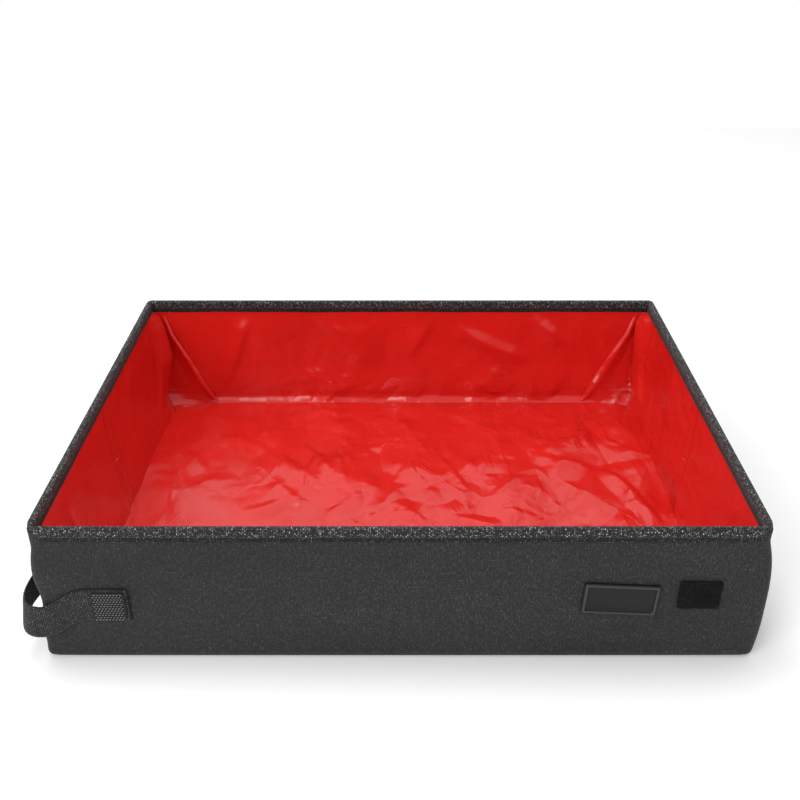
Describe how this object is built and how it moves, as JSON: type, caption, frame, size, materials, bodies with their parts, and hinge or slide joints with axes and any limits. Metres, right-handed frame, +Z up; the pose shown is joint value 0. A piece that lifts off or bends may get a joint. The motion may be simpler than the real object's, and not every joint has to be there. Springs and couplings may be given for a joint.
{
  "type": "foldable litter box",
  "caption": "Rectangular soft tray with stiffened cloth walls, taped rim, loose waterproof film lining, webbing handle and fastening patches; its end walls fold inwards so the box packs flat.",
  "frame": {"origin": "centre of the open box's underside, on the ground", "axes": "+X along the box's length to the right, with the handle at the left; +Y from the front wall to the back wall; +Z up"},
  "size_m": [0.4214, 0.3029, 0.092],
  "materials": {
    "oxford": "matte woven",
    "tape": "matte woven tape",
    "film": "semi-gloss film",
    "board": "matte sheet",
    "webbing": "matte ribbed webbing",
    "hook": "matte hooks",
    "loop": "matte looped pile",
    "rubber": "satin moulded"
  },
  "bodies": {
    "back_wall": {"back_panel": "oxford", "back_board_left": "board", "back_board_right": "board", "back_liner": "film", "back_rim_tape": "tape", "base_panel": "oxford", "floor_liner": "film"},
    "left_rear_wall": {"left_rear_panel": "oxford", "left_rear_board": "board", "left_rear_liner": "film", "left_rear_rim_tape": "tape"},
    "left_front_wall": {"left_front_panel": "oxford", "left_front_board": "board", "left_front_liner": "film", "left_front_rim_tape": "tape"},
    "front_wall": {"front_panel": "oxford", "front_board_left": "board", "front_board_right": "board", "front_liner": "film", "front_rim_tape": "tape", "handle_strap": "webbing", "hook_patch": "hook", "loop_patch": "loop", "label_plate": "rubber"},
    "right_rear_wall": {"right_rear_panel": "oxford", "right_rear_board": "board", "right_rear_liner": "film", "right_rear_rim_tape": "tape"},
    "right_front_wall": {"right_front_panel": "oxford", "right_front_board": "board", "right_front_liner": "film", "right_front_rim_tape": "tape"}
  },
  "joints": [
    {"name": "box_fold", "type": "hinge", "parent": "back_wall", "child": "left_rear_wall", "pos_m": [-0.1957, 0.1457, 0], "axis": [0, 0, 1], "range_deg": [0, 90], "deforming": ["floor_liner", "base_panel"]},
    {"name": "left_crease", "type": "hinge", "parent": "left_rear_wall", "child": "left_front_wall", "pos_m": [-0.2006, 0, 0], "axis": [0, 0, 1], "range_deg": [-180, 0]},
    {"name": "front_left_corner", "type": "hinge", "parent": "left_front_wall", "child": "front_wall", "pos_m": [-0.1957, -0.1457, 0], "axis": [0, 0, 1], "range_deg": [0, 90], "deforming": ["handle_strap"]},
    {"name": "back_right_corner", "type": "hinge", "parent": "back_wall", "child": "right_rear_wall", "pos_m": [0.1957, 0.1457, 0], "axis": [0, 0, 1], "range_deg": [-90, 0]},
    {"name": "right_crease", "type": "hinge", "parent": "right_rear_wall", "child": "right_front_wall", "pos_m": [0.2006, 0, 0], "axis": [0, 0, 1], "range_deg": [0, 180]}
  ],
  "couplings": [
    {"joint": "left_crease", "follows": "box_fold", "ratio": -2},
    {"joint": "front_left_corner", "follows": "box_fold", "ratio": 1},
    {"joint": "back_right_corner", "follows": "box_fold", "ratio": -1},
    {"joint": "right_crease", "follows": "box_fold", "ratio": 2}
  ]
}
